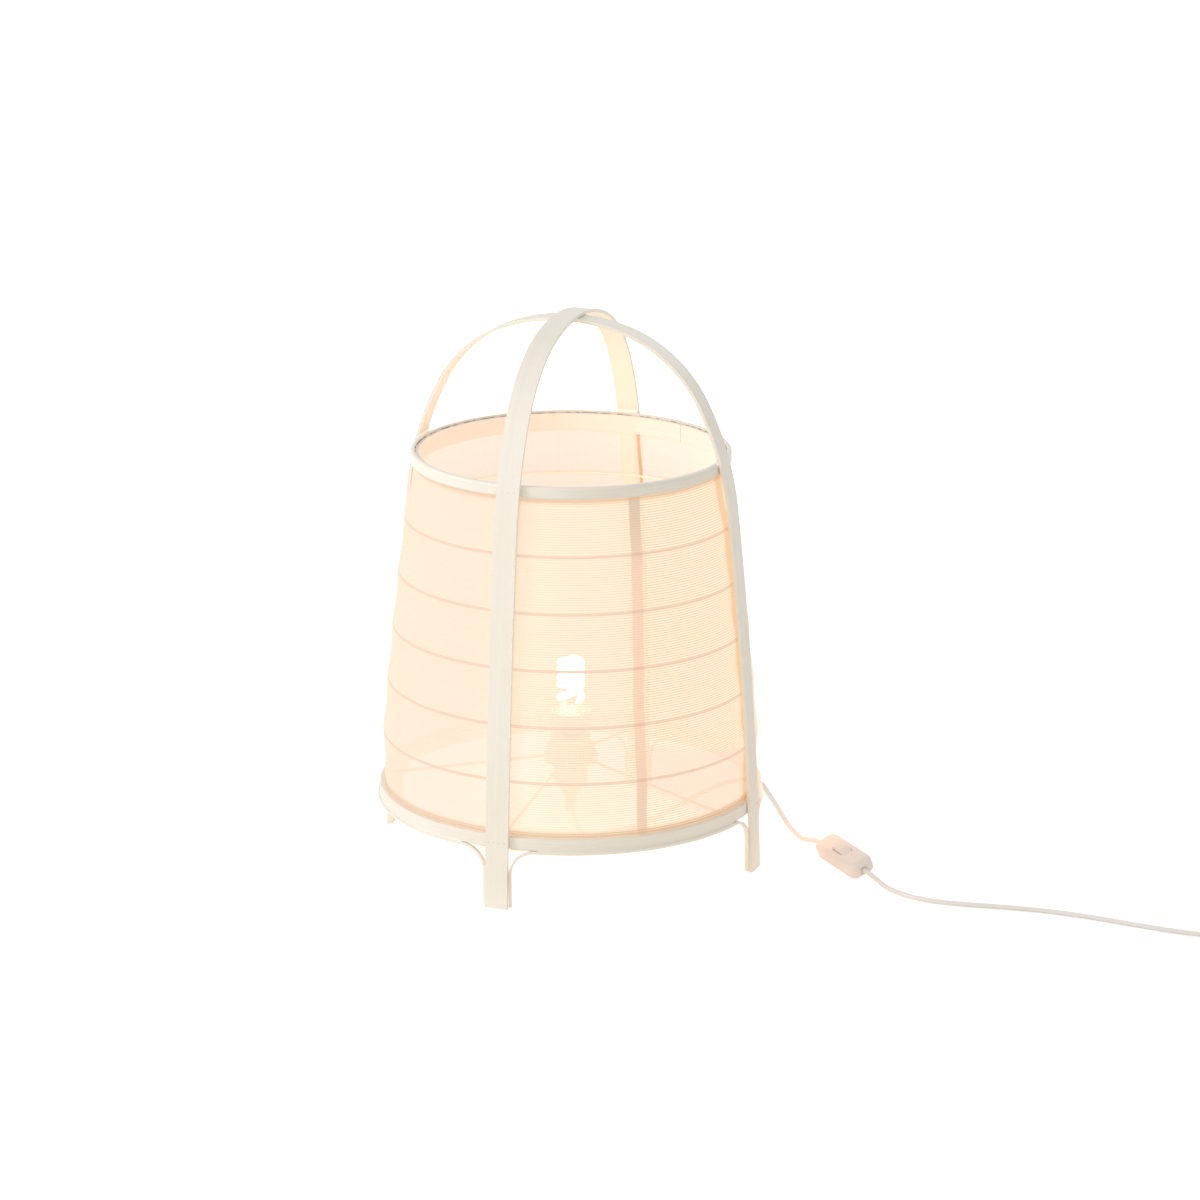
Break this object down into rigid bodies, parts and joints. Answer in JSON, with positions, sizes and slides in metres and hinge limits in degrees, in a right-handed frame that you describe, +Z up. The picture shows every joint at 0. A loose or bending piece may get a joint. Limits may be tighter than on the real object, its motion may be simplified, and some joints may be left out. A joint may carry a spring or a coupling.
{
  "type": "table lamp",
  "caption": "Bamboo table lamp: two crossed bent strips carry two rings and a tapered stretched cloth shade around a small lit bulb, with a white cord, inline switch and plug.",
  "frame": {"origin": "on the floor under the middle of the four feet", "axes": "+Z up along the lamp's axis; one bent hoop stands along X and the other along Y"},
  "size_m": [0.8967, 0.3831, 0.467],
  "materials": {
    "bamboo": "pale bleached bamboo, satin",
    "bamboo_thin": "thin split bamboo",
    "cloth": "thin ribbed translucent cloth",
    "white_steel": "white lacquer",
    "nail_steel": "small dull nail heads",
    "white_plastic": "white moulded plastic",
    "switch_plastic": "warm white moulded plastic",
    "black_glass": "black insulator",
    "brass": "bright",
    "zinc": "bright screw cap",
    "lit_glass": "white coated tube, lit",
    "cord_white": "white flexible sheath",
    "tie_black": "plain"
  },
  "bodies": {
    "lamp": {"hoop_lower": "bamboo", "hoop_upper": "bamboo", "top_band": "bamboo", "top_liner": "bamboo", "bottom_band": "bamboo", "bottom_liner": "bamboo", "foot_brace_1": "bamboo", "foot_brace_2": "bamboo", "foot_brace_3": "bamboo", "foot_brace_4": "bamboo", "shade_splint_1": "bamboo_thin", "shade_splint_2": "bamboo_thin", "shade_splint_3": "bamboo_thin", "shade_splint_4": "bamboo_thin", "shade_splint_5": "bamboo_thin", "shade_fabric": "cloth", "top_band_nails": "nail_steel", "bottom_band_nails": "nail_steel", "holder_plate": "white_steel", "holder_arms": "white_steel", "holder_shell": "white_plastic", "holder_ring": "white_plastic", "holder_cap": "white_plastic", "contact_block": "white_plastic", "cord_grip": "white_plastic", "centre_contact": "brass", "terminal_screws": "brass", "switch_contacts": "brass", "screw_sleeve": "zinc", "switch_pin": "zinc", "switch_screws": "zinc", "plug_pins": "zinc", "cord_to_switch": "cord_white", "cord_to_coil": "cord_white", "cord_coil": "cord_white", "cord_to_plug": "cord_white", "plug_relief": "cord_white", "cord_tie": "tie_black", "switch_base": "switch_plastic", "switch_cover": "switch_plastic", "plug_body": "switch_plastic"},
    "rocker": {"switch_rocker": "switch_plastic"},
    "bulb_base": {"bulb_tip": "brass"},
    "bulb": {"bulb_cap": "zinc", "bulb_insulator": "black_glass", "bulb_housing": "white_plastic", "bulb_spiral": "lit_glass"}
  },
  "joints": [
    {"name": "rocker_tip", "type": "hinge", "parent": "lamp", "child": "rocker", "pos_m": [0.23613, 0.03076, 0.01191], "axis": [0.6394, 0.6714, 0.3746], "range_deg": [-20, 0]},
    {"name": "bulb_lift", "type": "slide", "parent": "lamp", "child": "bulb_base", "axis": [0, 0, 1], "range_m": [0, 0.0127]},
    {"name": "bulb_turn", "type": "hinge", "parent": "bulb_base", "child": "bulb", "pos_m": [0, 0, 0.1], "axis": [0, 0, 1], "range_deg": [0, 1620]}
  ],
  "couplings": [
    {"joint": "bulb_lift", "follows": "bulb_turn", "m_per_rad": 0.00044882}
  ]
}
